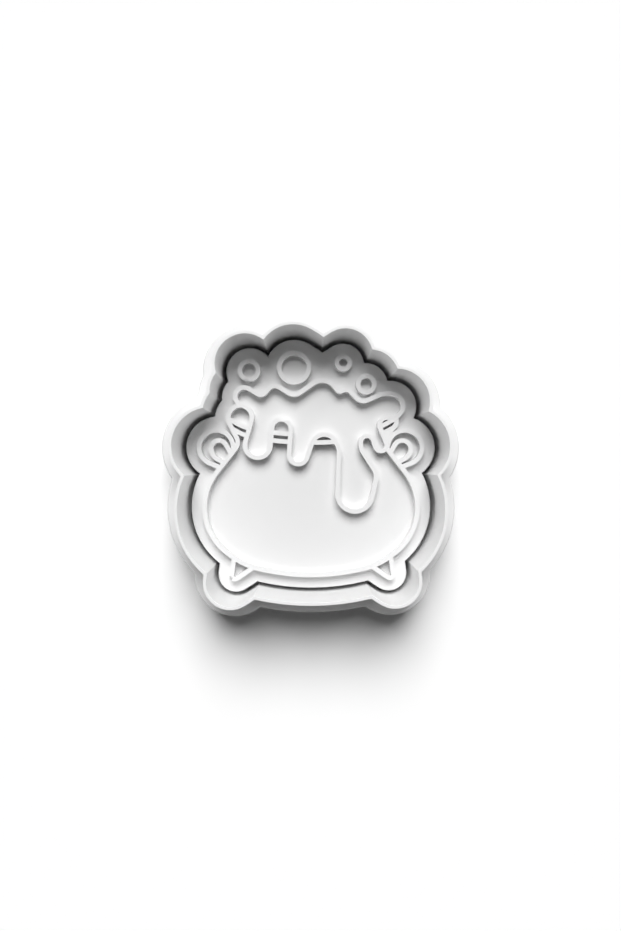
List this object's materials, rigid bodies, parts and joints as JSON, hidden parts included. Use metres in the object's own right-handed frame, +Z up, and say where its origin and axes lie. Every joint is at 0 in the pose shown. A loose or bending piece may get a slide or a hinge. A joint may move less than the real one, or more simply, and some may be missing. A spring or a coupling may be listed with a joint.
{
  "type": "cookie stamp",
  "caption": "White plastic cookie stamp set: a lobed cutter ring with a thin blade on a stout shoulder, and a loose stamp plate with a raised line drawing of a bubbling cauldron.",
  "frame": {"origin": "on the table, under the middle of the cutter ring's outline", "axes": "+Z up out of the working side, along the way the stamp plate lifts; +Y towards the bubbles; +X towards the drawing's right"},
  "size_m": [0.0788, 0.0798, 0.022],
  "materials": {
    "cutter_plastic": "matte white printed plastic with faint layer lines",
    "stamp_plastic": "matte white printed plastic, smooth on the lines' tops"
  },
  "bodies": {
    "cutter": {"cutter_ring": "cutter_plastic"},
    "stamp": {"stamp_plate": "stamp_plastic"}
  },
  "joints": [
    {"name": "stamp_lift", "type": "slide", "parent": "cutter", "child": "stamp", "axis": [0, 0, 1], "range_m": [0, 0.024]}
  ]
}
